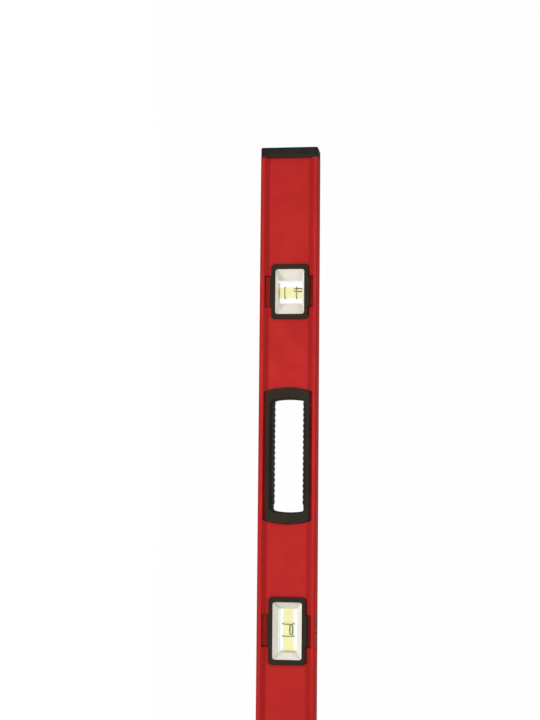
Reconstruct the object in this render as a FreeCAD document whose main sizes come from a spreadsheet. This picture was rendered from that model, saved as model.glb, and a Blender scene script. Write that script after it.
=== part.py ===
"""Box-section spirit level with two plumb vials, one level vial, two hand slots and pull-off end caps.

Frame: X runs along the level, Y through its thickness with the front face at -Y, Z up.
The origin is the centre of the lower measuring face. Millimetres.
"""

import FreeCAD
import Part
import math
import os
import Sketcher

V = FreeCAD.Vector
FRONT, BACK = -1, 1

# Driving dimensions in millimetres. Each one becomes a spreadsheet cell with this alias.
DIMENSIONS = {
    # whole level and extruded profile
    "level_length": 1000.0,
    "profile_height": 60.0,
    "flange_thickness": 27.0,
    "web_thickness": 23.0,
    "flange_band": 4.2,
    "bevel_band": 5.4,
    "wall": 2.2,
    "inner_rib": 1.8,
    "corner_radius": 1.4,
    "bevel_radius": 1.6,
    # places of the vials and hand slots
    "plumb_offset": 348.0,
    "handle_offset": 178.0,
    "vial_height": 31.3,
    "grip_height": 30.4,
    # milled seats shared by vial frames and hand grips
    "seat_height": 30.5,
    "seat_width": 50.6,
    "seat_face": 10.3,
    "seat_arch": 4.3,
    "seat_radius": 2.0,
    # vial window frame (bezel)
    "frame_face": 13.3,
    "frame_length": 57.2,
    "frame_width": 38.2,
    "frame_radius": 4.0,
    "frame_edge": 0.8,
    "window_edge": 0.3,
    "ear_length": 31.2,
    "ear_width": 41.2,
    "ear_chamfer": 1.5,
    "ear_clearance": 1.0,
    "window_length": 46.9,
    "window_width": 30.1,
    "window_radius": 2.4,
    "cutout_length": 54.0,
    "cutout_width": 35.6,
    "cutout_radius": 3.0,
    "skirt_wall": 1.0,
    "skirt_depth": 5.2,
    "level_frame_extra": 11.0,
    # reflector
    "reflector_face": 11.9,
    "throat_face": 7.1,
    "throat_length": 23.9,
    "throat_width": 25.0,
    "level_throat_length": 44.0,
    "level_throat_width": 19.0,
    # vial block and tube
    "block_thickness": 14.0,
    "plumb_block_height": 23.7,
    "plumb_block_length": 31.2,
    "level_block_height": 20.0,
    "level_block_length": 54.0,
    "plumb_tube_length": 28.2,
    "level_tube_length": 46.0,
    "tube_radius": 5.7,
    "barrel_radius": 450.0,
    "ring_spacing": 12.3,
    "ring_width": 0.7,
    "ring_depth": 1.0,
    # bubble
    "bubble_length": 11.0,
    "bubble_thickness": 4.6,
    "bubble_width": 6.6,
    "bubble_rest_shift": 8.0,
    # top reading window
    "lens_length": 38.0,
    "lens_width": 12.0,
    "lens_recess": 0.4,
    "lens_edge": 0.7,
    # hand grip
    "handle_length": 140.0,
    "handle_width": 44.8,
    "handle_arch": 3.4,
    "handle_face": 13.2,
    "grip_sleeve_length": 135.0,
    "grip_sleeve_width": 39.2,
    "grip_hole_length": 117.0,
    "grip_hole_width": 36.4,
    "grip_hole_arch": 2.0,
    "grip_edge": 1.8,
    "grip_corner": 2.4,
    "hole_corner": 6.0,
    "pad_reach": 15.5,
    "pad_bow": 31.0,
    "pad_half_thickness": 11.3,
    "grip_ribs": 19.0,
    "rib_pitch": 5.84,
    "rib_row_shift": 3.1,
    "rib_width": 4.0,
    "rib_height": 0.9,
    # end cap
    "cap_length": 11.0,
    "cap_plate": 3.0,
    "cap_radius": 2.4,
    "tongue_length": 24.0,
    "tongue_wall": 2.4,
    "bumper_round": 1.8,
    "groove_pitch": 2.0,
    # clearances
    "fit_gap": 0.2,
    "slip_gap": 0.05,
}

doc = FreeCAD.newDocument("spirit_level")
size = doc.addObject("Spreadsheet::Sheet", "Size")
for row, (alias, value) in enumerate(DIMENSIONS.items(), start=1):
    size.set(f"A{row}", alias)
    size.set(f"B{row}", repr(value))
    size.setAlias(f"B{row}", alias)
doc.recompute()

sub_parts = []


# ---------------------------------------------------------------- helpers


def bound(expression):
    """Writes each dimension name in an expression as a cell of the sheet."""
    words = []
    word = ""
    for letter in expression + " ":
        if letter.isalnum() or letter == "_":
            word += letter
            continue
        words.append(f"Size.{word}" if word in DIMENSIONS else word)
        words.append(letter)
        word = ""
    return "".join(words).strip()


def number(expression):
    """The value an expression has now, for a sketch's first guess."""
    return float(size.evalExpression(bound(expression)))


def bind(thing, path, expression):
    """Ties a property to the sheet, so a changed cell changes the part."""
    thing.setExpression(path, bound(expression))


def new_body(label, at=("0", "0", "0"), rotation=None):
    """A PartDesign body whose place is bound to the sheet."""
    body = doc.addObject("PartDesign::Body", label)
    body.Label = label
    place(body, at, rotation)
    sub_parts.append(body)
    return body


def place(thing, at, rotation=None):
    if rotation is not None:
        thing.Placement = FreeCAD.Placement(V(0, 0, 0), rotation)
    for axis, expression in zip("xyz", at):
        bind(thing, f"Placement.Base.{axis}", expression)


def sketch(body, plane, offset="0"):
    """A sketch on one of the body's own origin planes, moved along the plane's normal."""
    made = body.newObject("Sketcher::SketchObject", "Sketch")
    origin_plane = [f for f in body.Origin.OriginFeatures if f.Role == plane][0]
    made.AttachmentSupport = [(origin_plane, "")]
    made.MapMode = "FlatFace"
    bind(made, "AttachmentOffset.Base.z", offset)
    return made


def constrain_point(sk, geometry, end, x, y):
    """Fixes a vertex at (x, y), each an expression of the sheet."""
    for kind, axis, expression in (("DistanceX", -2, x), ("DistanceY", -1, y)):
        if abs(number(expression)) < 1e-9:
            sk.addConstraint(Sketcher.Constraint("PointOnObject", geometry, end, axis))
            continue
        value = number(expression)
        index = sk.addConstraint(Sketcher.Constraint(kind, -1, 1, geometry, end, value))
        bind(sk, f"Constraints[{index}]", expression)


def polygon(sk, points):
    """A closed outline through points given as pairs of expressions."""
    spots = [V(number(x), number(y), 0) for x, y in points]
    count = len(spots)
    first = sk.GeometryCount
    for i in range(count):
        sk.addGeometry(Part.LineSegment(spots[i], spots[(i + 1) % count]))
    for i in range(count):
        following = first + (i + 1) % count
        sk.addConstraint(Sketcher.Constraint("Coincident", first + i, 2, following, 1))
        constrain_point(sk, first + i, 1, *points[i])


def rectangle(sk, width, height, x="0", y="0"):
    """A rectangle of that width and height centred on (x, y)."""
    left, right = f"{x} - ({width}) / 2", f"{x} + ({width}) / 2"
    low, high = f"{y} - ({height}) / 2", f"{y} + ({height}) / 2"
    polygon(sk, [(left, low), (right, low), (right, high), (left, high)])


def arched(sk, length, width, arch, corner):
    """A long outline along X: straight sides, ends that bow outward by arch, and rounded corners."""
    half, side = number(length) / 2, number(width) / 2
    bow, small = number(arch), number(corner)
    radius = (side * side + bow * bow) / (2 * bow)
    centre = half - radius
    corner_y = side - small
    corner_x = centre + math.sqrt((radius - small) ** 2 - corner_y ** 2)
    meet = math.atan2(corner_y, corner_x - centre)
    first = sk.GeometryCount
    for turn in (0, math.pi):
        flip = 1 if turn == 0 else -1
        start, end = V(-corner_x * flip, -side * flip, 0), V(corner_x * flip, -side * flip, 0)
        sk.addGeometry(Part.LineSegment(start, end))
        for x, y, size_of_arc, begin, finish in (
            (corner_x, -corner_y, small, -math.pi / 2, -meet),
            (centre, 0, radius, -meet, meet),
            (corner_x, corner_y, small, meet, math.pi / 2),
        ):
            whole = Part.Circle(V(x * flip, y * flip, 0), V(0, 0, 1), size_of_arc)
            sk.addGeometry(Part.ArcOfCircle(whole, begin + turn, finish + turn))
    for i in range(8):
        following = first + (i + 1) % 8
        sk.addConstraint(Sketcher.Constraint("Tangent", first + i, 2, following, 1))
    for line, sign in ((first, "-"), (first + 4, "")):
        sk.addConstraint(Sketcher.Constraint("Horizontal", line))
        edge = f"{sign}({width}) / 2"
        index = sk.addConstraint(Sketcher.Constraint("DistanceY", -1, 1, line, 1, number(edge)))
        bind(sk, f"Constraints[{index}]", edge)
    radius_of_end = f"((({width}) / 2) ^ 2 + ({arch}) ^ 2) / (2 * ({arch}))"
    for arc, sign in ((first + 2, ""), (first + 6, "-")):
        constrain_point(sk, arc, 3, f"{sign}(({length}) / 2 - {radius_of_end})", "0")
        index = sk.addConstraint(Sketcher.Constraint("Radius", arc, radius))
        bind(sk, f"Constraints[{index}]", radius_of_end)
    for arc in (first + 1, first + 3, first + 5, first + 7):
        index = sk.addConstraint(Sketcher.Constraint("Radius", arc, small))
        bind(sk, f"Constraints[{index}]", corner)


def check_change(body, before, more, name):
    """Stops the build if a feature added or removed nothing."""
    after = body.Shape.Volume
    if (after <= before) if more else (after >= before):
        raise RuntimeError(f"{body.Label}: {name} changed nothing")


def pad(body, sk, length, both_ways=False, backwards=False):
    """Adds material from a sketch: length along its normal, or half of it each way."""
    before = body.Shape.Volume if body.Tip else 0.0
    made = body.newObject("PartDesign::Pad", "Pad")
    made.Profile = sk
    made.Midplane = both_ways
    made.Reversed = backwards
    bind(made, "Length", length)
    sk.Visibility = False
    doc.recompute()
    check_change(body, before, True, "pad")
    return made


def pocket(body, sk, length, both_ways=False, backwards=False):
    """Removes material: length against the sketch's normal, or half of it each way."""
    before = body.Shape.Volume
    made = body.newObject("PartDesign::Pocket", "Pocket")
    made.Profile = sk
    made.Midplane = both_ways
    made.Reversed = backwards
    bind(made, "Length", length)
    doc.recompute()
    check_change(body, before, False, "pocket")
    return made


def edges_where(feature, test):
    """Names of the feature's edges whose midpoint and direction pass the test."""
    names = []
    for index, edge in enumerate(feature.Shape.Edges, start=1):
        middle = edge.valueAt((edge.FirstParameter + edge.LastParameter) / 2)
        along = edge.tangentAt((edge.FirstParameter + edge.LastParameter) / 2)
        if test(middle, along, edge):
            names.append(f"Edge{index}")
    return names


def dress(body, base, test, size_of_edge, kind="Fillet"):
    """Rounds or chamfers the edges of the body's last feature that pass the test."""
    names = edges_where(base, test)
    if not names:
        raise RuntimeError(f"{body.Label}: no edge to dress")
    made = body.newObject(f"PartDesign::{kind}", kind)
    made.Base = (base, names)
    bind(made, "Radius" if kind == "Fillet" else "Size", size_of_edge)
    doc.recompute()
    if made.State != ["Up-to-date"]:
        raise RuntimeError(f"{body.Label}: {kind} of {len(names)} edges failed")
    return made


def along_y(middle, along, edge):
    return abs(along.y) > 0.999


def along_x(middle, along, edge):
    return abs(along.x) > 0.999


def along_z(middle, along, edge):
    return abs(along.z) > 0.999


def move_sketch(sk, x, y):
    """Shifts a whole sketch in its own plane."""
    bind(sk, "AttachmentOffset.Base.x", x)
    bind(sk, "AttachmentOffset.Base.y", y)


# ---------------------------------------------------------------- profile


def make_profile():
    """The extruded aluminium box: two flanges, a recessed web and two inner ribs."""
    body = new_body("profile")
    section = sketch(body, "YZ_Plane")
    outer, inner = "flange_thickness / 2", "web_thickness / 2"
    band, web = "flange_band", "flange_band + bevel_band"
    top = "profile_height"
    right = [(outer, "0"), (outer, band), (inner, web)]
    right += [(inner, f"{top} - ({web})"), (outer, f"{top} - {band}"), (outer, top)]
    left = [(f"-{y}", z) for y, z in reversed(right)]
    polygon(section, right + left)
    length = "level_length - 2 * cap_length"
    solid = pad(body, section, length, both_ways=True)

    height = number(top)

    def outer_corner(middle, along, edge):
        return along_x(middle, along, edge) and (middle.z < 0.1 or middle.z > height - 0.1)

    def bevel_corner(middle, along, edge):
        return along_x(middle, along, edge) and 0.2 * height > min(middle.z, height - middle.z) > 2

    solid = dress(body, solid, outer_corner, "corner_radius")
    dress(body, solid, bevel_corner, "bevel_radius")

    chambers = sketch(body, "YZ_Plane")
    rectangle(chambers, "web_thickness - 2 * wall", f"{top} - 2 * ({web})", y=f"{top} / 2")
    flange_chamber = f"({web}) - inner_rib - wall"
    for centre in (f"wall + ({flange_chamber}) / 2", f"{top} - wall - ({flange_chamber}) / 2"):
        rectangle(chambers, "web_thickness - 2 * wall", flange_chamber, y=centre)
    pocket(body, chambers, length, both_ways=True)

    for x, long_side in (("-plumb_offset", "cutout_length"), ("plumb_offset", "cutout_length"),
                         ("0", "cutout_length + level_frame_extra")):
        cut_vial_window(body, x, long_side)
    for x in ("-handle_offset", "handle_offset"):
        cut_hand_slot(body, x)

    slot = sketch(body, "XY_Plane", top)
    rectangle(slot, "lens_length + 2 * fit_gap", "lens_width + 2 * fit_gap")
    last = pocket(body, slot, f"{web} + 2")

    def slot_corner(middle, along, edge):
        inside = abs(middle.x) < number("lens_length") and middle.z > height - number("wall")
        return along_z(middle, along, edge) and inside

    def window_corner(middle, along, edge):
        up = abs(middle.z - number("vial_height"))
        at_corner = abs(up - number("cutout_width") / 2) < 0.01
        return along_y(middle, along, edge) and at_corner and edge.Length < number("wall") + 0.01

    last = dress(body, last, slot_corner, "seat_radius")
    dress(body, last, window_corner, "cutout_radius")


def cut_vial_window(body, x, long_side):
    """Window through both webs, with a milled seat for the frame's ears on each face."""
    hole = sketch(body, "XZ_Plane")
    rectangle(hole, long_side, "cutout_width", x=x, y="vial_height")
    pocket(body, hole, "flange_thickness + 2", both_ways=True)
    for side in (FRONT, BACK):
        seat = sketch(body, "XZ_Plane", f"{-side} * flange_thickness / 2")
        rectangle(seat, "ear_length + 2 * ear_clearance", "seat_width", x=x, y="seat_height")
        pocket(body, seat, "flange_thickness / 2 - seat_face", backwards=side == BACK)


def cut_hand_slot(body, x):
    """Long slot with arched ends through both webs, with a milled seat on each face."""
    hole = sketch(body, "XZ_Plane")
    arched(hole, "grip_sleeve_length + 2 * fit_gap", "grip_sleeve_width + 2 * fit_gap",
           "handle_arch", "hole_corner + fit_gap")
    move_sketch(hole, x, "grip_height")
    pocket(body, hole, "flange_thickness + 2", both_ways=True)
    for side in (FRONT, BACK):
        seat = sketch(body, "XZ_Plane", f"{-side} * flange_thickness / 2")
        arched(seat, "handle_length + 2 * fit_gap", "seat_width", "seat_arch", "seat_radius")
        move_sketch(seat, x, "seat_height")
        pocket(body, seat, "flange_thickness / 2 - seat_face", backwards=side == BACK)


# ---------------------------------------------------------------- vial windows


def turned(side):
    """Rotation that makes a front piece serve as the matching back piece."""
    return FreeCAD.Rotation(V(0, 0, 1), 180 if side == BACK else 0)


def make_frame(label, x, side, extra):
    """Black window frame: a rim with two ears on the face, and a skirt inside the wall."""
    body = new_body(label, (x, "0", "vial_height"), turned(side))
    rim = sketch(body, "XZ_Plane", "web_thickness / 2 + slip_gap")
    rectangle(rim, f"frame_length + {extra}", "frame_width")
    solid = pad(body, rim, "frame_face - web_thickness / 2 - slip_gap")
    dress(body, solid, along_y, "frame_radius")

    ears = sketch(body, "XZ_Plane", "seat_face + slip_gap")
    rectangle(ears, "ear_length", "ear_width")
    solid = pad(body, ears, "frame_face - seat_face - slip_gap")
    ear_reach = number("ear_width") / 2

    def ear_corner(middle, along, edge):
        return along_y(middle, along, edge) and abs(abs(middle.z) - ear_reach) < 0.01

    dress(body, solid, ear_corner, "ear_chamfer", "Chamfer")

    skirt = sketch(body, "XZ_Plane", "web_thickness / 2 + slip_gap")
    cut = (f"cutout_length + {extra} - 2 * fit_gap", "cutout_width - 2 * fit_gap")
    rectangle(skirt, *cut)
    solid = pad(body, skirt, "skirt_depth", backwards=True)
    skirt_reach = number(cut[1]) / 2

    def skirt_corner(middle, along, edge):
        behind = middle.y > -number("seat_face")
        return along_y(middle, along, edge) and behind and abs(abs(middle.z) - skirt_reach) < 0.01

    dress(body, solid, skirt_corner, "cutout_radius")

    bore = sketch(body, "XZ_Plane", "reflector_face + slip_gap")
    rectangle(bore, f"{cut[0]} - 2 * skirt_wall", f"{cut[1]} - 2 * skirt_wall")
    pocket(body, bore, "reflector_face + slip_gap")

    window = sketch(body, "XZ_Plane", "frame_face")
    rectangle(window, f"window_length + {extra}", "window_width")
    solid = pocket(body, window, "frame_face")
    opening = number("window_width") / 2

    def window_corner(middle, along, edge):
        return along_y(middle, along, edge) and abs(abs(middle.z) - opening) < 0.01

    solid = dress(body, solid, window_corner, "window_radius")
    face = number("frame_face")
    half_window = number(f"(window_length + {extra}) / 2")

    def outer_rim(middle, along, edge):
        outside = max(abs(middle.z) - opening, abs(middle.x) - half_window) > 1.5
        return abs(middle.y + face) < 0.01 and outside

    def inner_rim(middle, along, edge):
        return abs(middle.y + face) < 0.01 and not outer_rim(middle, along, edge)

    solid = dress(body, solid, outer_rim, "frame_edge")
    dress(body, solid, inner_rim, "window_edge")


def make_reflector(label, x, side, extra, throat, pocket_size, lens_notch=False):
    """White half core: a funnel from the window down to the throat, and a seat for the block."""
    body = new_body(label, (x, "0", "vial_height"), turned(side))
    block = sketch(body, "XZ_Plane", "slip_gap")
    margin = "4 * fit_gap + 2 * skirt_wall"
    outer = (f"cutout_length + {extra} - ({margin})", f"cutout_width - ({margin})")
    rectangle(block, *outer)
    solid = pad(body, block, "reflector_face - slip_gap")
    dress(body, solid, along_y, "cutout_radius - skirt_wall")

    mouth = sketch(body, "XZ_Plane", "reflector_face + slip_gap")
    rectangle(mouth, f"window_length + {extra}", "window_width")
    narrow = sketch(body, "XZ_Plane", "throat_face")
    rectangle(narrow, *throat)
    before = body.Shape.Volume
    funnel = body.newObject("PartDesign::SubtractiveLoft", "Funnel")
    funnel.Profile = mouth
    funnel.Sections = [narrow]
    funnel.Ruled = True
    doc.recompute()
    check_change(body, before, False, "funnel")

    seat = sketch(body, "XZ_Plane", "throat_face")
    rectangle(seat, *[f"{length} + 2 * slip_gap" for length in pocket_size])
    pocket(body, seat, "throat_face")
    if lens_notch:
        notch = sketch(body, "XY_Plane", "cutout_width / 2")
        rectangle(notch, "lens_length + 2 * fit_gap", "lens_width + 2 * fit_gap")
        pocket(body, notch, "cutout_width / 2")


# ---------------------------------------------------------------- vials


def upright():
    return FreeCAD.Rotation(V(0, 0, 1), 0)


def lying():
    """Turns a tube along Z into one along X, with its -X side on top."""
    return FreeCAD.Rotation(V(0, 1, 0), 90)


def barrel(body, length, gap, subtract):
    """Revolves the barrel-shaped tube about Z: widest in the middle, slightly narrower at the ends."""
    half = number(length) / 2
    wide = number(f"tube_radius - {gap}")
    bow = number("barrel_radius")
    narrow = wide - (bow - math.sqrt(bow * bow - half * half))
    sk = sketch(body, "XZ_Plane")
    sk.addGeometry(Part.LineSegment(V(narrow, half, 0), V(0, half, 0)))
    sk.addGeometry(Part.LineSegment(V(0, half, 0), V(0, -half, 0)))
    sk.addGeometry(Part.LineSegment(V(0, -half, 0), V(narrow, -half, 0)))
    angle = math.asin(half / bow)
    circle = Part.Circle(V(wide - bow, 0, 0), V(0, 0, 1), bow)
    sk.addGeometry(Part.ArcOfCircle(circle, -angle, angle))
    for i in range(4):
        sk.addConstraint(Sketcher.Constraint("Coincident", i, 2, (i + 1) % 4, 1))
    constrain_point(sk, 1, 1, "0", f"({length}) / 2")
    constrain_point(sk, 2, 1, "0", f"-({length}) / 2")
    sk.addConstraint(Sketcher.Constraint("Horizontal", 0))
    sk.addConstraint(Sketcher.Constraint("Horizontal", 2))
    index = sk.addConstraint(Sketcher.Constraint("DistanceX", -1, 1, 3, 3, wide - bow))
    bind(sk, f"Constraints[{index}]", f"tube_radius - {gap} - barrel_radius")
    index = sk.addConstraint(Sketcher.Constraint("Radius", 3, bow))
    bind(sk, f"Constraints[{index}]", "barrel_radius")
    kind = "PartDesign::Groove" if subtract else "PartDesign::Revolution"
    before = body.Shape.Volume if subtract else 0.0
    made = body.newObject(kind, "Barrel")
    made.Profile = sk
    made.ReferenceAxis = (sk, ["V_Axis"])
    made.Angle = 360
    doc.recompute()
    check_change(body, before, not subtract, "barrel")
    return made


def make_block(label, at, rotation, block_length, block_height, tube_length):
    """Clear acrylic block with the barrel bore, two ring grooves and a plug hole at its lower end."""
    body = new_body(label, at, rotation)
    outline = sketch(body, "XZ_Plane")
    rectangle(outline, block_height, block_length)
    pad(body, outline, "block_thickness", both_ways=True)
    barrel(body, tube_length, "0", subtract=True)

    grooves = sketch(body, "XZ_Plane")
    for sign in ("-", ""):
        middle = f"{sign}ring_spacing / 2"
        low, high = f"{middle} - ring_width / 2", f"{middle} + ring_width / 2"
        inner, outer = "tube_radius - 1", "tube_radius + ring_depth"
        polygon(grooves, [(inner, low), (outer, low), (outer, high), (inner, high)])
    before = body.Shape.Volume
    cut = body.newObject("PartDesign::Groove", "RingGrooves")
    cut.Profile = grooves
    cut.ReferenceAxis = (grooves, ["V_Axis"])
    cut.Angle = 360
    doc.recompute()
    check_change(body, before, False, "ring grooves")

    filler = sketch(body, "XY_Plane", f"-({tube_length}) / 2")
    circle(filler, "tube_radius / 2 + slip_gap")
    pocket(body, filler, f"({block_length} - ({tube_length})) / 2")
    return body


def circle(sk, radius):
    """A circle on the sketch's origin."""
    index = sk.addGeometry(Part.Circle(V(0, 0, 0), V(0, 0, 1), number(radius)))
    sk.addConstraint(Sketcher.Constraint("Coincident", index, 3, -1, 1))
    constraint = sk.addConstraint(Sketcher.Constraint("Radius", index, number(radius)))
    bind(sk, f"Constraints[{constraint}]", radius)


def make_liquid(label, at, rotation, tube_length):
    """Tinted liquid: the barrel with a flat top, which leaves the run along which the bubble moves."""
    body = new_body(label, at, rotation)
    barrel(body, f"{tube_length} - 2 * slip_gap", "slip_gap", subtract=False)
    surface = sketch(body, "YZ_Plane", "bubble_thickness + slip_gap - (tube_radius - slip_gap)")
    rectangle(surface, "4 * tube_radius", tube_length)
    pocket(body, surface, "tube_radius")
    return body


def make_bubble(label, at, rotation):
    """The air bubble: an ellipsoid lying along the tube against its upper wall."""
    made = doc.addObject("Part::Ellipsoid", label)
    made.Label = label
    bind(made, "Radius1", "bubble_length / 2")
    bind(made, "Radius2", "bubble_thickness / 2 - 2 * slip_gap")
    bind(made, "Radius3", "bubble_width / 2")
    place(made, at, rotation)
    sub_parts.append(made)
    return made


def make_rings(label, at, rotation):
    """Two black reading rings, pressed into the grooves of the bore."""
    rings = []
    for sign in ("-", ""):
        outer = doc.addObject("Part::Cylinder", f"{label}_outer")
        bind(outer, "Radius", "tube_radius + ring_depth - slip_gap / 2")
        bind(outer, "Height", "ring_width - slip_gap")
        bore = doc.addObject("Part::Cylinder", f"{label}_bore")
        bind(bore, "Radius", "tube_radius + slip_gap / 2")
        bind(bore, "Height", "ring_width - slip_gap")
        ring = doc.addObject("Part::Cut", f"{label}_ring")
        ring.Base, ring.Tool = outer, bore
        bind(ring, "Placement.Base.z", f"{sign}ring_spacing / 2 - ring_width / 2 + slip_gap / 2")
        rings.append(ring)
    made = doc.addObject("Part::Compound", label)
    made.Label = label
    made.Links = rings
    place(made, at, rotation)
    sub_parts.append(made)
    return made


def make_plug(label, at, rotation, block_length, tube_length):
    """Round plug that seals the filling hole."""
    body = new_body(label, at, rotation)
    round_end = sketch(body, "XY_Plane", f"-({tube_length}) / 2 - slip_gap")
    circle(round_end, "tube_radius / 2")
    pad(body, round_end, f"({block_length} - ({tube_length})) / 2 - 2 * slip_gap", backwards=True)


def make_vial(prefix, x, rotation, block, tube_length, bubble_at):
    """Everything inside one vial: block, liquid, bubble, rings and plug."""
    at = (x, "0", "vial_height")
    make_block(f"{prefix}_vial_block", at, rotation, *block, tube_length)
    make_liquid(f"{prefix}_vial_liquid", at, rotation, tube_length)
    make_bubble(f"{prefix}_vial_bubble", bubble_at, rotation)
    make_rings(f"{prefix}_vial_rings", at, rotation)
    make_plug(f"{prefix}_vial_plug", at, rotation, block[0], tube_length)


def make_plumb_station(name, x):
    """Plumb vial: its tube stands across the level, and its bubble rests at the upper end."""
    block = ("plumb_block_length", "plumb_block_height")
    rise = "tube_radius - slip_gap - bubble_thickness / 2"
    bubble_at = (f"{x} - ({rise})", "0", "vial_height + bubble_rest_shift")
    make_vial(name, x, upright(), block, "plumb_tube_length", bubble_at)
    for side, word in ((FRONT, "front"), (BACK, "back")):
        make_frame(f"{name}_{word}_frame", x, side, "0")
        throat = ("throat_length", "throat_width")
        make_reflector(f"{name}_{word}_reflector", x, side, "0", throat, block[::-1])


def make_level_station(name):
    """Level vial: its tube lies along the level and is read from the sides and from the top."""
    block = ("level_block_length", "level_block_height")
    rise = "tube_radius - slip_gap - bubble_thickness / 2"
    make_vial(name, "0", lying(), block, "level_tube_length", ("0", "0", f"vial_height + {rise}"))
    for side, word in ((FRONT, "front"), (BACK, "back")):
        make_frame(f"{name}_{word}_frame", "0", side, "level_frame_extra")
        throat = ("level_throat_length", "level_throat_width")
        make_reflector(f"{name}_{word}_reflector", "0", side, "level_frame_extra", throat, block, True)
    make_lens(f"{name}_top_lens")


def make_lens(label):
    """Clear reading lens in the top slot: a straight stem with a domed upper face."""
    body = new_body(label)
    foot = sketch(body, "XY_Plane", "vial_height + level_block_height / 2 + fit_gap")
    rectangle(foot, "lens_length", "lens_width")
    height = "profile_height - lens_recess - (vial_height + level_block_height / 2 + fit_gap)"
    solid = pad(body, foot, height)
    solid = dress(body, solid, along_z, "seat_radius - fit_gap")
    top = number("profile_height - lens_recess")

    def rim(middle, along, edge):
        return abs(middle.z - top) < 0.01

    dress(body, solid, rim, "lens_edge")


# ---------------------------------------------------------------- hand grips


def make_grip_shell(label, x, side):
    """Half of the hand grip: a rim in the milled seat and a sleeve that reaches the middle plane."""
    body = new_body(label, (x, "0", "grip_height"), turned(side))
    rim = sketch(body, "XZ_Plane", "seat_face + slip_gap")
    arched(rim, "handle_length", "handle_width", "handle_arch", "grip_corner")
    pad(body, rim, "handle_face - seat_face - slip_gap")
    sleeve = sketch(body, "XZ_Plane", "seat_face + slip_gap")
    arched(sleeve, "grip_sleeve_length", "grip_sleeve_width", "handle_arch", "hole_corner")
    pad(body, sleeve, "seat_face", backwards=True)
    hole = sketch(body, "XZ_Plane", "handle_face")
    arched(hole, "grip_hole_length", "grip_hole_width", "grip_hole_arch", "hole_corner")
    solid = pocket(body, hole, "handle_face")
    face = number("handle_face")
    half_length, half_width = number("grip_hole_length") / 2, number("grip_hole_width") / 2

    def hole_rim(middle, along, edge):
        beside_hole = abs(middle.x) < half_length + 0.1 and abs(middle.z) < half_width + 0.1
        return abs(middle.y + face) < 0.01 and beside_hole

    def outer_rim(middle, along, edge):
        return abs(middle.y + face) < 0.01 and not hole_rim(middle, along, edge)

    solid = dress(body, solid, hole_rim, "grip_edge")
    dress(body, solid, outer_rim, "frame_edge")


def make_grip_pad(label, x, upper):
    """Soft ribbed liner for one long side of the hand slot, bowed towards the fingers."""
    rotation = FreeCAD.Rotation(V(1, 0, 0), 180 if upper else 0)
    body = new_body(label, (x, "0", "grip_height"), rotation)
    back = "-(grip_hole_width / 2 - slip_gap)"
    axis_height = "-pad_reach - pad_bow"
    side, bow = number("pad_half_thickness"), number("pad_bow")
    half_angle = math.asin(side / bow)
    section = sketch(body, "YZ_Plane")
    bowed_section(section, side, bow, half_angle, axis_height, back)
    pad(body, section, "grip_hole_length", both_ways=True)

    bump = sketch(body, "XZ_Plane")
    first = "-(grip_ribs - 1) / 2 * rib_pitch - rib_row_shift"
    low, high = "-pad_reach - 0.3", "-pad_reach + rib_height"
    polygon(bump, [(f"{first} - rib_width / 2", low), (f"{first} + rib_width / 2", low),
                   (f"{first} + rib_width / 4", high), (f"{first} - rib_width / 4", high)])
    axis_sketch = sketch(body, "XZ_Plane")
    start, end = V(-10, number(axis_height), 0), V(10, number(axis_height), 0)
    line = axis_sketch.addGeometry(Part.LineSegment(start, end))
    constrain_point(axis_sketch, line, 1, "-10", axis_height)
    constrain_point(axis_sketch, line, 2, "10", axis_height)
    before = body.Shape.Volume
    rib = body.newObject("PartDesign::Revolution", "Rib")
    rib.Profile = bump
    rib.ReferenceAxis = (axis_sketch, ["Edge1"])
    rib.Midplane = True
    rib.Angle = 2 * math.degrees(half_angle) - 2
    doc.recompute()
    check_change(body, before, True, "rib")
    one_rib = body.Shape.Volume
    row = body.newObject("PartDesign::LinearPattern", "Ribs")
    row.Originals = [rib]
    row.Direction = (bump, ["H_Axis"])
    bind(row, "Length", "(grip_ribs - 1) * rib_pitch")
    bind(row, "Occurrences", "grip_ribs")
    body.Tip = row
    doc.recompute()
    check_change(body, one_rib, True, "rib row")

    ends = sketch(body, "XZ_Plane")
    rectangle(ends, "2 * grip_hole_length", "2 * handle_width")
    arched(ends, "grip_hole_length - 2 * slip_gap", "grip_hole_width - 2 * slip_gap",
           "grip_hole_arch", "hole_corner")
    pocket(body, ends, "flange_thickness", both_ways=True)


def bowed_section(sk, side, bow, half_angle, axis_height, back):
    """The liner's section: flat back, straight edges, and an arc that bows towards the hand."""
    centre = number(axis_height)
    edge, rear = centre + bow * math.cos(half_angle), number(back)
    circle_of_bow = Part.Circle(V(0, centre, 0), V(0, 0, 1), bow)
    arc = Part.ArcOfCircle(circle_of_bow, math.pi / 2 - half_angle, math.pi / 2 + half_angle)
    sk.addGeometry(arc)
    sk.addGeometry(Part.LineSegment(V(-side, edge, 0), V(-side, rear, 0)))
    sk.addGeometry(Part.LineSegment(V(-side, rear, 0), V(side, rear, 0)))
    sk.addGeometry(Part.LineSegment(V(side, rear, 0), V(side, edge, 0)))
    for i in range(4):
        sk.addConstraint(Sketcher.Constraint("Coincident", i, 2, (i + 1) % 4, 1))
    constrain_point(sk, 2, 1, "-pad_half_thickness", back)
    constrain_point(sk, 2, 2, "pad_half_thickness", back)
    sk.addConstraint(Sketcher.Constraint("Vertical", 1))
    sk.addConstraint(Sketcher.Constraint("Vertical", 3))
    constrain_point(sk, 0, 3, "0", axis_height)
    index = sk.addConstraint(Sketcher.Constraint("Radius", 0, bow))
    bind(sk, f"Constraints[{index}]", "pad_bow")


def make_grip(name, x):
    for side, word in ((FRONT, "front"), (BACK, "back")):
        make_grip_shell(f"{name}_{word}_shell", x, side)
    make_grip_pad(f"{name}_lower_pad", x, upper=False)
    make_grip_pad(f"{name}_upper_pad", x, upper=True)


# ---------------------------------------------------------------- end caps


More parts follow.
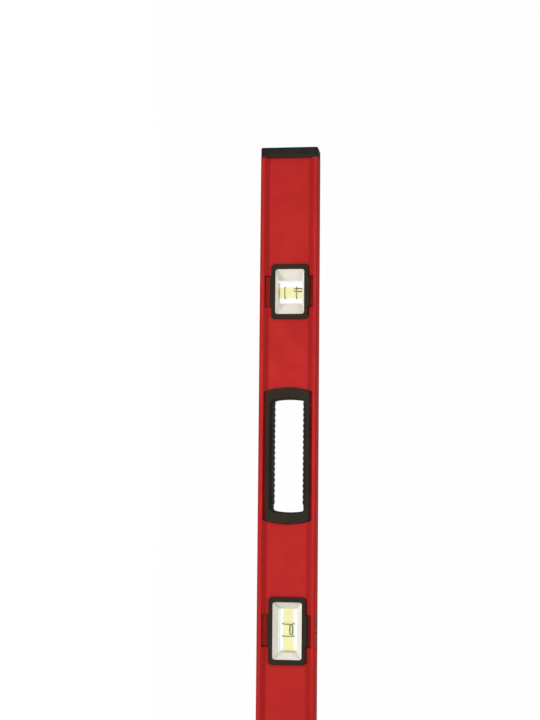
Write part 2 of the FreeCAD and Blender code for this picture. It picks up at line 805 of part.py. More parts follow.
def make_cap(name, x, rotation):
    """Pull-off end cap, built for the -X end: a hard insert and a soft bumper."""
    at = (x, "0", "profile_height / 2")
    width, height = "flange_thickness", "profile_height"
    insert = new_body(f"{name}_insert", at, rotation)
    plate = sketch(insert, "YZ_Plane", "-slip_gap")
    rectangle(plate, width, height)
    solid = pad(insert, plate, "cap_plate", backwards=True)
    dress(insert, solid, along_x, "cap_radius")
    tongues = sketch(insert, "YZ_Plane", "-slip_gap")
    web = "(flange_band + bevel_band)"
    chamber = ("web_thickness - 2 * wall - 2 * fit_gap", f"profile_height - 2 * {web} - 2 * fit_gap")
    rectangle(tongues, *chamber)
    small = f"{web} - inner_rib - wall"
    for sign in ("-", ""):
        centre = f"{sign}(profile_height / 2 - wall - ({small}) / 2)"
        rectangle(tongues, chamber[0], f"{small} - 2 * fit_gap", y=centre)
    pad(insert, tongues, "tongue_length")
    hollow = sketch(insert, "YZ_Plane", "tongue_length - slip_gap")
    rectangle(hollow, *[f"{length} - 2 * tongue_wall" for length in chamber])
    pocket(insert, hollow, "tongue_length")
    key = sketch(insert, "YZ_Plane", "-slip_gap - cap_plate")
    rectangle(key, f"({width}) / 2", f"({height}) / 2")
    pad(insert, key, "cap_length / 4", backwards=True)

    bumper = new_body(f"{name}_bumper", at, rotation)
    block = sketch(bumper, "YZ_Plane", "-slip_gap - cap_plate")
    rectangle(block, width, height)
    solid = pad(bumper, block, "cap_length - cap_plate - slip_gap", backwards=True)
    solid = dress(bumper, solid, along_x, "cap_radius")
    outer = -number("cap_length")

    def end_rim(middle, along, edge):
        return abs(middle.x - outer) < 0.01

    dress(bumper, solid, end_rim, "bumper_round")
    socket = sketch(bumper, "YZ_Plane", "-slip_gap - cap_plate")
    rectangle(socket, f"({width}) / 2 + 2 * slip_gap", f"({height}) / 2 + 2 * slip_gap")
    pocket(bumper, socket, "cap_length / 4 + slip_gap")
    grooves = sketch(bumper, "XZ_Plane")
    for sign in ("-", ""):
        z = f"{sign}({height}) / 2"
        for step in ("1", "2"):
            middle = f"-cap_plate - groove_pitch * {step} - 0.2"
            rectangle(grooves, "0.7", "1.2", x=middle, y=z)
    pocket(bumper, grooves, "2 * flange_thickness", both_ways=True)


# ---------------------------------------------------------------- build and export


def export_all():
    """Checks every object and solid, then writes one STEP file for each sub-part."""
    doc.recompute()
    for thing in doc.Objects:
        if "Invalid" in thing.State or "Error" in thing.State:
            raise RuntimeError(f"{thing.Label} failed to build: {thing.State}")
    os.makedirs("parts", exist_ok=True)
    for part in sub_parts:
        shape = part.Shape
        if shape.isNull() or not shape.isValid() or not shape.Solids:
            raise RuntimeError(f"{part.Label} is not a valid solid")
        shape.exportStep(f"parts/{part.Label}.step")
        print(f"{part.Label}: {len(shape.Solids)} solid(s), {shape.Volume / 1000:.2f} cm3")


make_profile()
make_plumb_station("left_plumb", "-plumb_offset")
make_plumb_station("right_plumb", "plumb_offset")
make_level_station("centre")
make_grip("left_grip", "-handle_offset")
make_grip("right_grip", "handle_offset")
make_cap("left_cap", "-(level_length / 2 - cap_length)", turned(FRONT))
make_cap("right_cap", "level_length / 2 - cap_length", turned(BACK))
export_all()
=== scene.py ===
import math

import bmesh
import bpy
from mathutils import Matrix, Vector


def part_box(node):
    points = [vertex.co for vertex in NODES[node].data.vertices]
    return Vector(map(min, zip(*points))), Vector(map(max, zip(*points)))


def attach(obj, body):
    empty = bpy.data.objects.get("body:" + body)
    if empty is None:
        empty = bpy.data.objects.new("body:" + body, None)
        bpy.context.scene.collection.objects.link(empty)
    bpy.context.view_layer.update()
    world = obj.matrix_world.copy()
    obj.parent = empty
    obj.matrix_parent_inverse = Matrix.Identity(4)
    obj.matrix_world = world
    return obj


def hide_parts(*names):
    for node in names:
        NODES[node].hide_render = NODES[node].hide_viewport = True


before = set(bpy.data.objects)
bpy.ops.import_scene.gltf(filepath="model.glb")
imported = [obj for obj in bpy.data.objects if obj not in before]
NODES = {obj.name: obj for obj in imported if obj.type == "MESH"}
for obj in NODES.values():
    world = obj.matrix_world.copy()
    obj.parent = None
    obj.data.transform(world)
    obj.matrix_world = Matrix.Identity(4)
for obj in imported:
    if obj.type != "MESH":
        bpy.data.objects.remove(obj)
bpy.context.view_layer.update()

MM = 0.001
PLUMBS = ("left_plumb", "right_plumb")
STATIONS = PLUMBS + ("centre",)
GRIPS = ("left_grip", "right_grip")

WHITE = (1.0, 1.0, 1.0)
ACRYLIC_IOR = 1.49
PROBE_RAYS = 4  # rays that a material sends out to find edges and gaps

# Outline of a hand slot's liner, seen from the front of the level.
PAD_OUTLINE = {"length": 116.8 * MM, "width": 36.3 * MM, "arch": 2.0 * MM, "corner": 6.0 * MM}


def middle_of(node):
    """The centre of a CAD node's box."""
    low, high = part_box(node)
    return (low + high) / 2


# ---------------------------------------------------------------- shader building


def feed(tree, socket, value):
    """Joins an output to a socket, or sets the socket to a plain value. A colour may leave out its alpha."""
    if isinstance(value, bpy.types.NodeSocket):
        tree.links.new(value, socket)
        return
    if isinstance(value, tuple) and len(value) == 3 and socket.type == "RGBA":
        value = value + (1.0,)
    socket.default_value = value


class Shader:
    """A material's node tree, with short calls for adding and joining nodes."""

    def __init__(self, name):
        self.material = bpy.data.materials.new(name)
        self.material.use_nodes = True
        self.tree = self.material.node_tree
        self.tree.nodes.clear()
        self.output = self.tree.nodes.new("ShaderNodeOutputMaterial")

    def add(self, kind, inputs=None, **settings):
        """Adds a node. Inputs are values or sockets, keyed by name or index."""
        node = self.tree.nodes.new("ShaderNode" + kind)
        for key, value in settings.items():
            setattr(node, key, value)
        for key, value in (inputs or {}).items():
            feed(self.tree, node.inputs[key], value)
        return node

    def math(self, operation, a, b=0.0):
        """Arithmetic on one or two values."""
        return self.add("Math", {0: a, 1: b}, operation=operation).outputs[0]

    def vector(self, operation, a, b=None):
        """Arithmetic on one or two vectors. The result may be a vector or a plain value."""
        node = self.add("VectorMath", {0: a}, operation=operation)
        if b is not None:
            feed(self.tree, node.inputs[1], b)
        gives_value = operation in ("LENGTH", "DOT_PRODUCT")
        return node.outputs["Value" if gives_value else "Vector"]

    def mix(self, factor, a, b, blend="MIX"):
        """Blends two colours."""
        node = self.add("Mix", {0: factor, 6: a, 7: b}, data_type="RGBA", blend_type=blend)
        return node.outputs[2]

    def mix_surfaces(self, factor, a, b):
        """Surface a where the factor is 0, surface b where it is 1."""
        return self.add("MixShader", {0: factor, 1: a.outputs[0], 2: b.outputs[0]})

    def place(self):
        """Coordinates in metres, fixed to the piece."""
        return self.add("TexCoord").outputs["Object"]

    def noise(self, place, scale, detail=2.0, roughness=0.5):
        """Cloudy noise around 0.5. A higher scale makes it finer."""
        node = self.add("TexNoise", {"Vector": place, "Scale": scale, "Detail": detail,
                                     "Roughness": roughness})
        return node.outputs["Fac"]

    def stretched(self, place, x, y, z):
        """Coordinates scaled by its own factor along each axis."""
        node = self.add("Mapping", {"Vector": place, "Scale": (x, y, z)})
        return node.outputs["Vector"]

    def remap(self, value, low, high, new_low=0.0, new_high=1.0):
        """Eases from new_low to new_high while the value goes from low to high."""
        node = self.add("MapRange", {0: value, 1: low, 2: high, 3: new_low, 4: new_high},
                        interpolation_type="SMOOTHSTEP")
        return node.outputs[0]

    def bump(self, height, distance, normal=None):
        """A normal tilted by a relief whose height, 0 to 1, is scaled by a distance in metres. It lies on top
        of another relief if that one's normal is given."""
        inputs = {"Height": height, "Distance": distance, "Strength": 1.0}
        if normal is not None:
            inputs["Normal"] = normal
        return self.add("Bump", inputs).outputs["Normal"]

    def edges(self, radius):
        """0 on flat areas, up to 1 along outer and inner edges nearer than radius."""
        flat_bend, edge_bend = 0.02, 0.35
        rounded = self.add("Bevel", {"Radius": radius}, samples=PROBE_RAYS).outputs[0]
        normal = self.add("NewGeometry").outputs["Normal"]
        bend = self.math("SUBTRACT", 1.0, self.vector("DOT_PRODUCT", rounded, normal))
        return self.remap(bend, flat_bend, edge_bend)

    def crevice(self, distance):
        """1 in the open, down to 0 in narrow gaps."""
        return self.add("AmbientOcclusion", {"Distance": distance}, samples=PROBE_RAYS).outputs["AO"]

    def finish(self, surface):
        """Makes a surface node the material's surface and returns the material."""
        self.tree.links.new(surface.outputs[0], self.output.inputs["Surface"])
        return self.material


def red_coat():
    """Satin red powder coat: fine orange peel, faint cloudiness, rubbed edges and a few scuffs, with painted
    shade that darkens it to deep maroon in recesses and narrow gaps.
    """
    plain, pale, speck = (0.50, 0.0225, 0.0205), (0.55, 0.0250, 0.0230), (0.44, 0.0185, 0.0170)
    painted_recess_shade, rubbed, scuffed = (0.085, 0.0040, 0.0030), (0.60, 0.06, 0.05), (0.60, 0.07, 0.06)
    s = Shader("red_coat")
    place = s.place()
    cloud = s.noise(place, 14.0, 3.0)
    speckle = s.noise(place, 2600.0, 1.0)
    base = s.mix(s.remap(cloud, 0.3, 0.7), plain, pale)
    base = s.mix(s.remap(speckle, 0.35, 0.75), base, speck)
    # painted shade: the coat darkens to deep maroon where recesses and gaps close in
    base = s.mix(s.remap(s.crevice(6.0 * MM), 0.32, 0.95), painted_recess_shade, base)
    along = s.noise(s.stretched(place, 30.0, 900.0, 900.0), 1.0, 3.0)
    rub = s.math("MULTIPLY", s.edges(0.9 * MM), s.remap(along, 0.45, 0.7))
    patch = s.remap(s.noise(place, 42.0, 4.0, 0.6), 0.60, 0.72)
    scratch = s.noise(s.stretched(place, 160.0, 2200.0, 2200.0), 1.0, 4.0, 0.65)
    scuff = s.math("MULTIPLY", s.remap(scratch, 0.62, 0.72), patch)
    base = s.mix(s.math("MULTIPLY", rub, 0.35), base, rubbed)
    base = s.mix(s.math("MULTIPLY", scuff, 0.30), base, scuffed)
    rough = s.remap(s.noise(place, 60.0, 4.0), 0.3, 0.7, 0.38, 0.47)
    rough = s.math("ADD", rough, s.math("MULTIPLY", scuff, 0.15))
    peel = s.bump(s.noise(place, 1100.0, 2.0), 0.04 * MM)
    return s.finish(s.add("BsdfPrincipled", {
        "Base Color": base, "Roughness": rough, "Normal": s.bump(scuff, 0.02 * MM, peel),
        "Specular IOR Level": 0.15, "Metallic": 0.35, "Specular Tint": (1.0, 0.55, 0.50),
    }))


def black_plastic():
    """Moulded black plastic with a fine leathery grain, slightly polished edges, and a painted highlight that
    lightens those edges.
    """
    dark, light, polished = (0.024, 0.0175, 0.0115), (0.031, 0.0235, 0.0155), (0.040, 0.034, 0.026)
    s = Shader("black_plastic")
    place = s.place()
    grain = s.noise(place, 1900.0, 3.0, 0.6)
    cloud = s.noise(place, 45.0, 3.0)
    edge = s.edges(0.6 * MM)
    base = s.mix(s.remap(cloud, 0.3, 0.7), dark, light)
    # painted highlight: a lighter colour laid along the edges
    base = s.mix(s.math("MULTIPLY", edge, 0.35), base, polished)
    rough = s.remap(cloud, 0.3, 0.7, 0.44, 0.54)
    rough = s.math("SUBTRACT", rough, s.math("MULTIPLY", edge, 0.10))
    return s.finish(s.add("BsdfPrincipled", {
        "Base Color": base, "Roughness": rough, "Specular IOR Level": 0.12,
        "Normal": s.bump(grain, 0.05 * MM),
    }))


def soft_rubber():
    """Dull black rubber with a fine tooth and grey dust caught in its hollows."""
    dark, light, dusty = (0.014, 0.0125, 0.0095), (0.022, 0.0195, 0.0155), (0.10, 0.092, 0.08)
    s = Shader("soft_rubber")
    place = s.place()
    tooth = s.noise(place, 2600.0, 2.0, 0.7)
    cloud = s.noise(place, 70.0, 4.0)
    base = s.mix(s.remap(cloud, 0.3, 0.7), dark, light)
    hollow = s.math("SUBTRACT", 1.0, s.crevice(1.5 * MM))
    dust = s.math("MULTIPLY", s.remap(hollow, 0.35, 0.9), s.remap(cloud, 0.40, 0.75))
    base = s.mix(s.math("MULTIPLY", dust, 0.35), base, dusty)
    return s.finish(s.add("BsdfPrincipled", {
        "Base Color": base, "Roughness": s.remap(cloud, 0.3, 0.7, 0.58, 0.72),
        "Specular IOR Level": 0.12, "Normal": s.bump(tooth, 0.06 * MM),
        "Sheen Weight": 0.08, "Sheen Roughness": 0.5,
    }))


def reflector_plastic():
    """Warm white moulded plastic, slightly translucent, with faint mould flow."""
    warm, pale = (0.785, 0.755, 0.655), (0.825, 0.795, 0.70)
    s = Shader("reflector_plastic")
    place = s.place()
    flow = s.noise(s.stretched(place, 60.0, 260.0, 120.0), 1.0, 3.0)
    return s.finish(s.add("BsdfPrincipled", {
        "Base Color": s.mix(s.remap(flow, 0.3, 0.7), warm, pale),
        "Roughness": s.remap(flow, 0.3, 0.7, 0.30, 0.40), "Specular IOR Level": 0.45,
        "Normal": s.bump(s.noise(place, 700.0, 2.0), 0.01 * MM),
        "Subsurface Weight": 0.15, "Subsurface Radius": (1.0 * MM, 0.8 * MM, 0.6 * MM),
        "Subsurface Scale": 1.0,
    }))


def see_through(s, tint, painted_rim_shade, rim_width):
    """A surface that doesn't bend light: it tints what is behind it, and a painted shade darkens it where it
    turns away, in place of the light that bending would send aside.
    """
    facing = s.add("LayerWeight", {"Blend": 0.5}).outputs["Facing"]
    # painted shade: the colour darkens toward the rim as the surface turns away
    rim_shade_mask = s.remap(facing, 1.0 - rim_width, 1.0)
    haze = s.remap(s.noise(s.place(), 260.0, 3.0), 0.3, 0.7, 0.98, 1.0)
    grey = s.add("CombineColor", {0: haze, 1: haze, 2: haze}).outputs[0]
    colour = s.mix(1.0, s.mix(rim_shade_mask, tint, painted_rim_shade), grey, "MULTIPLY")
    return s.add("BsdfTransparent", {"Color": colour})


def polish(s):
    """A glossy skin with faint smears, and how much of it is seen at each angle."""
    smear = s.remap(s.noise(s.place(), 90.0, 3.0), 0.35, 0.7, 0.02, 0.08)
    shine = s.add("BsdfGlossy", {"Color": WHITE, "Roughness": smear})
    share = s.add("Fresnel", {"IOR": ACRYLIC_IOR}).outputs[0]
    return shine, share


def lens_acrylic():
    """Clear plastic of the top lens and the plugs, polished all over."""
    s = Shader("lens_acrylic")
    # the second colour is the painted shade along the rim
    through = see_through(s, (0.95, 0.965, 0.95), (0.70, 0.76, 0.70), 0.25)
    shine, share = polish(s)
    return s.finish(s.mix_surfaces(share, through, shine))


def vial_liquid():
    """Yellow-green liquid."""
    s = Shader("vial_liquid")
    # the second colour is the painted shade along the rim, drawing the tube's dark edge lines
    return s.finish(see_through(s, (0.975, 0.955, 0.67), (0.86, 0.87, 0.58), 0.10))


def block_acrylic(name, station, across):
    """Vial block: polished front and back, bore walls that vanish against the liquid, and side walls whose
    inner faces glow near-white: a painted light in place of the light of the surroundings that the inner
    faces of a thick clear block carry. Across holds 0 for the axis along which the tube runs and 1 for the
    others; a station left of the middle has the material of its mirror image on the right."""
    low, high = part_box(f"{station}_vial_block")
    front = high.y
    skin_from, walls_to, bore_radius = front - 0.2 * MM, front - 0.05 * MM, 7.2 * MM
    s = Shader(name)
    # the second colour is the painted shade along the rim
    through = see_through(s, (0.995, 0.998, 0.995), (0.97, 0.98, 0.97), 0.12)
    folded = s.vector("ABSOLUTE", s.place())
    offset = s.vector("SUBTRACT", folded, middle_of(f"{station}_vial_block"))
    from_tube = s.vector("LENGTH", s.vector("MULTIPLY", offset, across))
    depth = s.add("SeparateXYZ", {0: folded}).outputs["Y"]
    shine, share = polish(s)
    polished = s.math("MULTIPLY", share, s.math("GREATER_THAN", depth, skin_from))
    skin = s.mix_surfaces(polished, through, shine)
    # painted light: the inner side walls glow near-white, as if lit by the surroundings
    painted_glow_mask = s.math("MULTIPLY", s.math("GREATER_THAN", from_tube, bore_radius),
                 s.math("LESS_THAN", depth, walls_to))
    painted_glow_mask = s.math("MULTIPLY", painted_glow_mask, s.add("NewGeometry").outputs["Backfacing"])
    painted_glow = s.add("Emission", {"Color": (0.95, 0.955, 0.94), "Strength": 0.97})
    return s.finish(s.mix_surfaces(painted_glow_mask, skin, painted_glow))


def bubble_skin():
    """Air bubble: clear in the middle, with painted shade as dark lines where its long sides turn away, in
    place of the light its edges bend aside. The painted line on the side that faces the tube's wall is the
    wider and darker one."""
    clear, painted_edge_shade = (1.0, 1.0, 0.96), (0.07, 0.09, 0.03)
    s = Shader("bubble_skin")
    facing = s.add("LayerWeight", {"Blend": 0.5}).outputs["Facing"]
    normal = s.add("SeparateXYZ", {0: s.add("TexCoord").outputs["Normal"]})
    from_wall, endwise = normal.outputs["X"], s.math("ABSOLUTE", normal.outputs["Z"])
    strength = s.math("MULTIPLY", s.remap(endwise, 0.45, 0.95, 1.0, 0.15),
                      s.remap(from_wall, -0.4, 0.4, 1.0, 0.7))
    widened = s.math("ADD", facing, s.remap(from_wall, -0.4, 0.4, 0.22, 0.0))
    # painted shade: dark lines along the bubble's turned-away sides, stronger on the side toward the tube's
    # wall
    dark = s.math("MULTIPLY", s.remap(widened, 0.30, 0.52), strength)
    ripple = s.remap(s.noise(s.place(), 700.0, 2.0), 0.3, 0.7, 0.85, 1.0)
    colour = s.mix(s.math("MULTIPLY", dark, ripple), clear, painted_edge_shade)
    through = s.add("BsdfTransparent", {"Color": colour})
    shine = s.add("BsdfGlossy", {"Color": WHITE, "Roughness": 0.05})
    return s.finish(s.mix_surfaces(0.03, through, shine))


def ring_ink():
    """Dark olive reading ring. Its far half shows only faintly through the liquid."""
    dark, light = (0.020, 0.022, 0.009), (0.036, 0.040, 0.018)
    fade, far_share = 0.5 * MM, 0.12
    s = Shader("ring_ink")
    place = s.place()
    mottle = s.noise(place, 1500.0, 3.0)
    ink = s.add("BsdfPrincipled", {
        "Base Color": s.mix(s.remap(mottle, 0.3, 0.7), dark, light),
        "Roughness": s.remap(mottle, 0.3, 0.7, 0.35, 0.5),
        "Normal": s.bump(mottle, 0.01 * MM), "Specular IOR Level": 0.05,
    })
    toward = s.add("SeparateXYZ", {0: s.add("NewGeometry").outputs["Incoming"]}).outputs["Y"]
    side = s.math("MULTIPLY", s.add("SeparateXYZ", {0: place}).outputs["Y"], toward)
    near = s.remap(side, -fade, fade, far_share, 1.0)
    faint = s.add("BsdfTransparent", {"Color": (0.97, 0.97, 0.95)})
    return s.finish(s.mix_surfaces(near, faint, ink))


def floor_paint():
    """Pale floor seen only from above; it fades out far away and at grazing angles."""
    dull, bright = (0.83, 0.825, 0.81), (0.86, 0.855, 0.845)
    fade_from, fade_to = 0.75, 1.9
    s = Shader("floor_paint")
    place = s.place()
    mottle = s.noise(place, 5.0, 4.0)
    matt = s.add("BsdfPrincipled", {
        "Base Color": s.mix(s.remap(mottle, 0.3, 0.7), dull, bright),
        "Roughness": s.remap(mottle, 0.3, 0.7, 0.6, 0.75), "Specular IOR Level": 0.1,
        "Normal": s.bump(s.noise(place, 900.0, 2.0), 0.05 * MM),
        "Emission Color": (1.0, 1.0, 0.99), "Emission Strength": 0.45,
    })
    gone = s.add("BsdfTransparent")
    geometry = s.add("NewGeometry")
    slope = s.vector("DOT_PRODUCT", geometry.outputs["Normal"], geometry.outputs["Incoming"])
    near = s.remap(s.vector("LENGTH", place), fade_from, fade_to, 1.0, 0.0)
    shown = s.math("MULTIPLY", s.remap(slope, 0.20, 0.36), near)
    shown = s.math("MULTIPLY", shown, s.math("SUBTRACT", 1.0, geometry.outputs["Backfacing"]))
    shown = s.math("MULTIPLY", shown, s.add("LightPath").outputs["Is Camera Ray"])
    return s.finish(s.mix_surfaces(shown, gone, matt))


# ---------------------------------------------------------------- mesh building


def spread(start, end, steps):
    """Evenly spaced values from start up to, but without, end."""
    return [start + (end - start) * i / steps for i in range(steps)]


def oval(half_x, half_y, z, count):
    """A ring of points at height z."""
    turns = spread(0.0, 2 * math.pi, count)
    return [(half_x * math.cos(turn), half_y * math.sin(turn), z) for turn in turns]


def loft(rings):
    """Points and faces of a solid through rings of equal count, closed at both ends."""
    count = len(rings[0])
    points = [tuple(point) for ring in rings for point in ring]
    faces = []
    for i in range(len(rings) - 1):
        a, b = i * count, (i + 1) * count
        for j in range(count):
            k = (j + 1) % count
            faces.append((a + j, a + k, b + k, b + j))
    last = (len(rings) - 1) * count
    faces.append(tuple(range(count)))
    faces.append(tuple(reversed(range(last, last + count))))
    return points, faces


def new_piece(name, rings, material, stands_for, body="level", matrix=None):
    """Makes a smooth solid through rings, which rides on a body and stands for a CAD node."""
    points, faces = loft(rings)
    mesh = bpy.data.meshes.new(name)
    mesh.from_pydata(points, [], faces)
    mesh.validate()
    editable = bmesh.new()
    editable.from_mesh(mesh)
    bmesh.ops.recalc_face_normals(editable, faces=editable.faces)
    editable.to_mesh(mesh)
    editable.free()
    for face in mesh.polygons:
        face.use_smooth = True
    mesh.materials.append(material)
    piece = bpy.data.objects.new(name, mesh)
    bpy.context.scene.collection.objects.link(piece)
    if matrix is not None:
        piece.matrix_world = matrix
    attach(piece, body)
    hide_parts(stands_for)


def arched_half_length(z, length, width, arch, corner):
    """Half length at height z of an outline whose ends bow outward and whose corners are rounded."""
    side = width / 2
    radius = (side * side + arch * arch) / (2 * arch)
    centre = length / 2 - radius
    corner_z = side - corner
    corner_x = centre + math.sqrt((radius - corner) ** 2 - corner_z ** 2)
    meet = radius * corner_z / (radius - corner)
    z = min(abs(z), side)
    if z <= meet:
        return centre + math.sqrt(radius * radius - z * z)
    return corner_x + math.sqrt(max(corner * corner - (z - corner_z) ** 2, 0.0))


def eased(t):
    """0 below 0, 1 above 1, and a smooth step between."""
    t = max(0.0, min(1.0, t))
    return t * t * (3 - 2 * t)


def make_pad(name, grip, upper, material):
    """Soft ribbed liner: a bowed pad with a row of rounded ribs across it."""
    low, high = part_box(name)
    half_y = (high.y - low.y) / 2
    slot_middle = middle_of(f"{grip}_front_shell")
    side = 1 if upper else -1
    reach = PAD_OUTLINE["length"] / 2
    seat, seat_gap, crown, bow = 18.15 * MM, 0.02 * MM, 15.5 * MM, 31.0 * MM
    ribs, pitch, shift, rib_height = 19, 5.84 * MM, -3.1 * MM, 0.9 * MM
    rib_end, lip_width, lip_height = 2.2 * MM, 0.7 * MM, 0.25 * MM
    rib_steps, margin_steps, cross_steps = 12, 6, 22

    first, last = shift - ribs / 2 * pitch, shift + ribs / 2 * pitch
    stations = spread(-reach, first, margin_steps)
    stations += spread(first, last, ribs * rib_steps)
    stations += spread(last, reach, margin_steps) + [reach]

    def rib_at(x):
        if x <= first or x >= last:
            return 0.0
        phase = ((x - first) / pitch) % 1.0 * 2 - 1
        return rib_height * (1 - phase * phase) ** 0.7

    def ring_at(x):
        """Over the bowed face from front to back, then along the flat side that lies on the shell. Heights
        are from the slot's middle plane."""
        ring = []
        for y in spread(-half_y, half_y, cross_steps) + [half_y]:
            inset = half_y - abs(y)
            height = crown + bow - math.sqrt(bow * bow - y * y)
            height += (1 - eased(inset / lip_width)) * lip_height
            stretch = arched_half_length(height, **PAD_OUTLINE) / reach
            ring.append((x * stretch, y, height - rib_at(x) * eased(inset / rib_end)))
        stretch = arched_half_length(seat - seat_gap, **PAD_OUTLINE) / reach
        ring += [(x * stretch, half_y, seat), (x * stretch, -half_y, seat)]
        return ring

    rings = []
    for x in stations:
        rings.append([(slot_middle.x + u, y, slot_middle.z + side * height) for u, y, height in ring_at(x)])
    new_piece(f"{name}_ribbed", rings, material, name)


def tube_turn(station):
    """Turns a vial's own axes into place: its tube runs along local Z, its bubble rides toward local -X."""
    if station in PLUMBS:
        return Matrix.Identity(4)
    return Matrix.Rotation(math.radians(90), 4, "Y")


def make_liquid(station, material):
    """The liquid fills the whole barrel of the vial."""
    low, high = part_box(f"{station}_vial_liquid")
    half_length = max(high.z - low.z, high.x - low.x) / 2
    wide, barrel = 5.65 * MM, 450 * MM
    tip, end_face, end_slope, shoulder = 0.3 * MM, wide * 0.8, 0.02 * MM, 0.15 * MM
    steps, around = 24, 64

    start = half_length - shoulder
    profile = [(tip, -half_length), (end_face, end_slope - half_length)]
    for z in spread(-start, start, steps) + [start]:
        profile.append((wide - barrel + math.sqrt(barrel * barrel - z * z), z))
    profile += [(end_face, half_length - end_slope), (tip, half_length)]
    rings = [oval(radius, radius, z, around) for radius, z in profile]
    matrix = Matrix.Translation(middle_of(f"{station}_vial_block")) @ tube_turn(station)
    new_piece(f"{station}_vial_filling", rings, material, f"{station}_vial_liquid",
              matrix=matrix)


def make_bubble(station, material):
    """A bubble with straighter sides and rounder ends than an ellipsoid, drawn slightly closer to the
    tube's axis than the CAD bubble, where the bending of light would show it."""
    node = f"{station}_vial_bubble"
    low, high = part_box(node)
    half = (high - low) / 2
    if station not in PLUMBS:
        half = half.zyx
    fullness, inward = 2.7, 0.35 * MM
    steps, around = 28, 48

    rings = []
    for i in range(1, steps):
        z = -math.cos(math.pi * i / steps)
        wide = (1 - abs(z) ** fullness) ** (1 / fullness)
        rings.append(oval(wide * half.x, wide * half.y, z * half.z, around))
    matrix = Matrix.Translation(middle_of(node)) @ tube_turn(station)
    matrix = matrix @ Matrix.Translation((inward, 0.0, 0.0))
    new_piece(f"{station}_vial_air", rings, material, node, f"{station}_bubble", matrix)


# ---------------------------------------------------------------- pieces and materials

black = black_plastic()
rubber = soft_rubber()
lens = lens_acrylic()
plumb_acrylic = block_acrylic("plumb_acrylic", "right_plumb", across=(1.0, 1.0, 0.0))
level_acrylic = block_acrylic("level_acrylic", "centre", across=(0.0, 1.0, 1.0))
liquid = vial_liquid()
air = bubble_skin()

# A CAD node takes the material of the last word in its name.
NODE_MATERIALS = {
    "profile": red_coat(), "frame": black, "shell": black, "insert": black,
    "reflector": reflector_plastic(), "block": plumb_acrylic, "plug": lens, "lens": lens,
    "liquid": liquid, "bubble": air, "rings": ring_ink(), "pad": rubber, "bumper": rubber,
}
for node_name, node in NODES.items():
    node.data.materials.clear()
    node.data.materials.append(NODE_MATERIALS[node_name.split("_")[-1]])
NODES["centre_vial_block"].data.materials[0] = level_acrylic

for grip in GRIPS:
    make_pad(f"{grip}_lower_pad", grip, False, rubber)
    make_pad(f"{grip}_upper_pad", grip, True, rubber)
for station in STATIONS:
    make_liquid(station, liquid)
    make_bubble(station, air)


# ---------------------------------------------------------------- studio


def make_floor():
    """A round floor just under the level, which casts no shadow."""
    radius, below, sides = 2.0, -0.8 * MM, 64
    mesh = bpy.data.meshes.new("floor")
    mesh.from_pydata(oval(radius, radius, below, sides), [], [tuple(range(sides))])
    mesh.materials.append(floor_paint())
    floor = bpy.data.objects.new("floor", mesh)
    bpy.context.scene.collection.objects.link(floor)
    floor.visible_shadow = False


def make_world(seen, light, gleam):
    """A white surround: brightest to the camera, dimmer as a light, and dimmest in reflections."""
    world = bpy.data.worlds.new("studio")
    world.use_nodes = True
    tree = world.node_tree
    tree.nodes.clear()
    path = tree.nodes.new("ShaderNodeLightPath")
    strength = light
    for ray, level in (("Is Glossy Ray", gleam), ("Is Camera Ray", seen)):
        mix = tree.nodes.new("ShaderNodeMix")
        feed(tree, mix.inputs[0], path.outputs[ray])
        feed(tree, mix.inputs[2], strength)
        feed(tree, mix.inputs[3], level)
        strength = mix.outputs[0]
    background = tree.nodes.new("ShaderNodeBackground")
    feed(tree, background.inputs["Color"], WHITE)
    feed(tree, background.inputs["Strength"], strength)
    output = tree.nodes.new("ShaderNodeOutputWorld")
    feed(tree, output.inputs["Surface"], background.outputs[0])
    bpy.context.scene.world = world


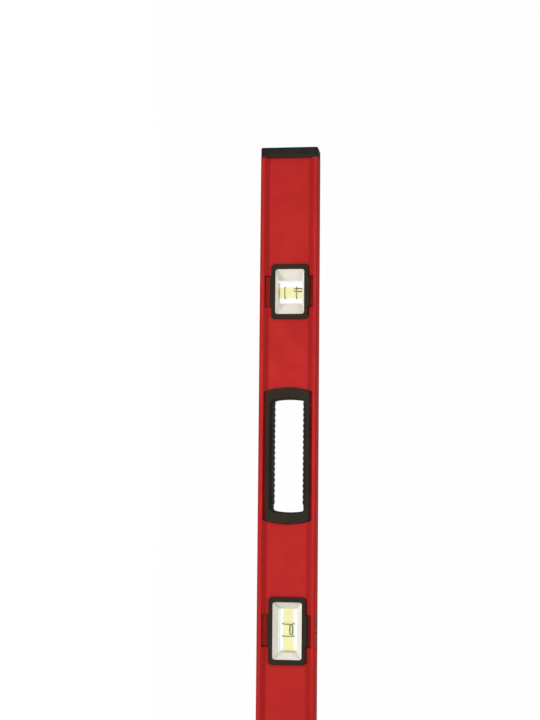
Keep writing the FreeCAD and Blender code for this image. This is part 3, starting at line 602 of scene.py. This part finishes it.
def soft_light(name, target, direction, distance, side, power, mirrored=False):
    """A square soft box that shines on target from a direction. Only a mirrored one shows in reflections."""
    data = bpy.data.lights.new(name, "AREA")
    data.shape = "SQUARE"
    data.size = side
    data.energy = power
    lamp = bpy.data.objects.new(name, data)
    bpy.context.scene.collection.objects.link(lamp)
    away = Vector(direction).normalized()
    lamp.location = Vector(target) + away * distance
    lamp.rotation_mode = "QUATERNION"
    lamp.rotation_quaternion = away.to_track_quat("Z", "Y")
    lamp.visible_camera = False
    lamp.visible_glossy = mirrored


def make_camera(place, yaw, pitch, roll, lens_mm):
    """The level's left end points up in the picture and its lower measuring face is on the left."""
    right, up, ahead = Vector((0, 0, 1)), Vector((-1, 0, 0)), Vector((0, 1, 0))
    turn = Matrix.Rotation(yaw, 3, up)
    right, ahead = turn @ right, turn @ ahead
    turn = Matrix.Rotation(pitch, 3, right)
    up, ahead = turn @ up, turn @ ahead
    turn = Matrix.Rotation(roll, 3, ahead)
    right, up = turn @ right, turn @ up
    data = bpy.data.cameras.new("camera")
    data.lens = lens_mm
    data.sensor_width = 36.0
    data.clip_start = 0.01
    data.clip_end = 100.0
    camera = bpy.data.objects.new("camera", data)
    bpy.context.scene.collection.objects.link(camera)
    axes = Matrix((right, up, -ahead)).transposed().to_4x4()
    camera.matrix_world = Matrix.Translation(Vector(place)) @ axes
    bpy.context.scene.camera = camera


# The lights aim either between the left vial and slot, or at the middle of the level.
left_stretch = (-0.28, 0.0, 0.03)
middle = (0.0, 0.0, 0.03)

make_floor()
make_world(seen=0.99, light=0.38, gleam=0.16)
soft_light("key", left_stretch, (0.12, -0.5, -0.85), distance=2.0, side=0.6, power=24.0)
soft_light("front", left_stretch, (0.0, -1.0, -0.12), distance=2.6, side=1.8, power=17.0, mirrored=True)
soft_light("upper", left_stretch, (-0.2, -0.5, 0.85), distance=2.0, side=0.9, power=16.0)
soft_light("back", middle, (0.1, 1.0, 0.1), distance=2.6, side=1.8, power=13.0)
soft_light("rear_top", middle, (0.25, 0.75, 0.9), distance=2.6, side=1.8, power=34.0)
make_camera(place=(-0.1654, -1.4090, 0.1999), yaw=0.1342, pitch=0.0788, roll=-0.0092, lens_mm=68.29)

scene = bpy.context.scene
scene.view_settings.view_transform = "Standard"
scene.view_settings.look = "None"
scene.cycles.max_bounces = 10
scene.cycles.transparent_max_bounces = 32
